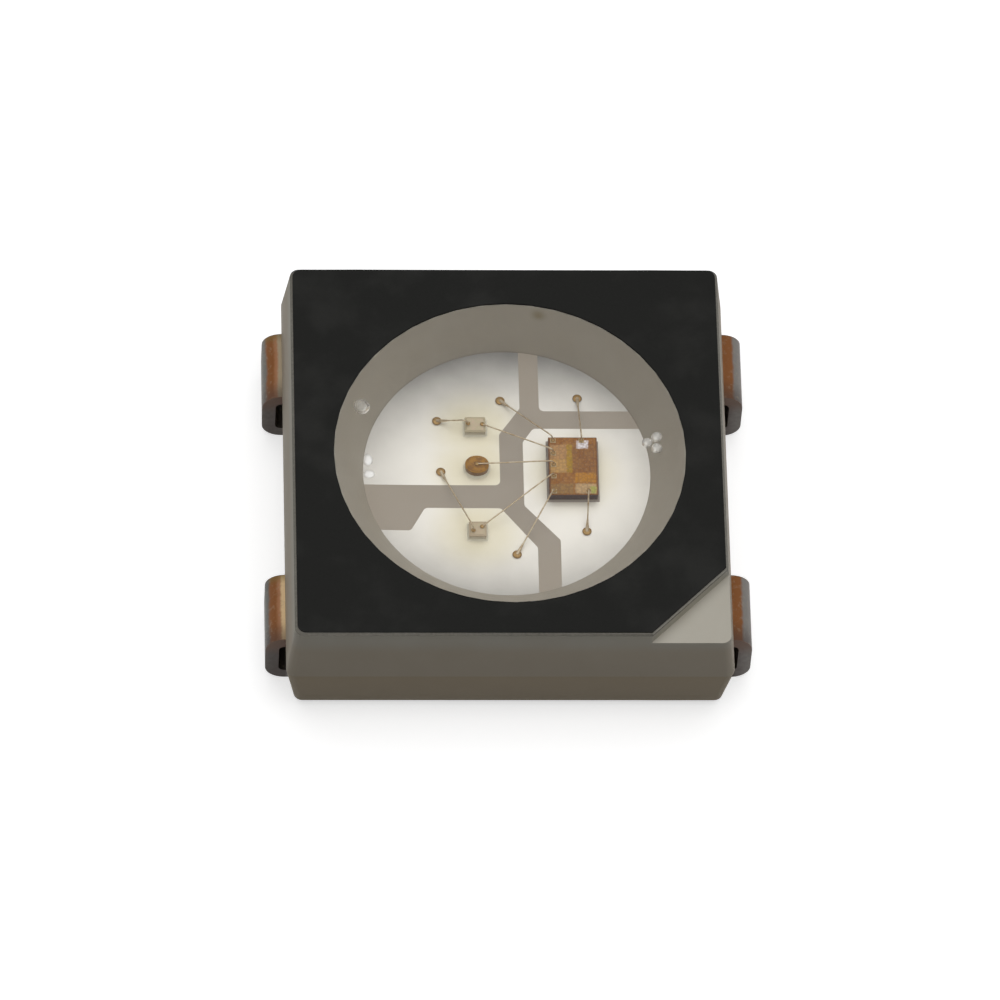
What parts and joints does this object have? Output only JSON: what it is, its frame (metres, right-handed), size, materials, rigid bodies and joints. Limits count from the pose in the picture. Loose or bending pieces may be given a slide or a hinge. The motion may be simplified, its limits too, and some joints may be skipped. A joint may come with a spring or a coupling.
{
  "type": "smd led",
  "caption": "Square surface-mount colour LED: black-printed face, round resin-filled reflector cup over silver pads with a driver chip inside, folded solder leads.",
  "frame": {"origin": "middle of the footprint, on the plane of the solder feet", "axes": "+Z is the way the light leaves, the leads leave the body along X, and the sunk marked corner is at +X, -Y"},
  "size_m": [0.0054, 0.005, 0.0016],
  "materials": {
    "white_plastic": "matte",
    "black_ink": "matte",
    "silver_plating": "satin",
    "chip_glue": "satin",
    "driver_silicon": "gloss",
    "green_crystal": "gloss",
    "red_crystal": "gloss",
    "blue_crystal": "gloss",
    "gold": "polished",
    "clear_resin": "gloss"
  },
  "bodies": {
    "root": {"housing": "white_plastic", "black_print": "black_ink", "lead_vdd": "silver_plating", "lead_dout": "silver_plating", "lead_vss": "silver_plating", "lead_din": "silver_plating", "driver_glue": "chip_glue", "green_glue": "chip_glue", "red_glue": "chip_glue", "blue_glue": "chip_glue", "driver_chip": "driver_silicon", "green_chip": "green_crystal", "red_chip": "red_crystal", "blue_chip": "blue_crystal", "wire_vdd": "gold", "wire_din": "gold", "wire_dout": "gold", "wire_vss": "gold", "wire_green_drive": "gold", "wire_red_drive": "gold", "wire_blue_drive": "gold", "wire_green_supply": "gold", "wire_blue_supply": "gold", "clear_resin": "clear_resin"}
  },
  "joints": []
}
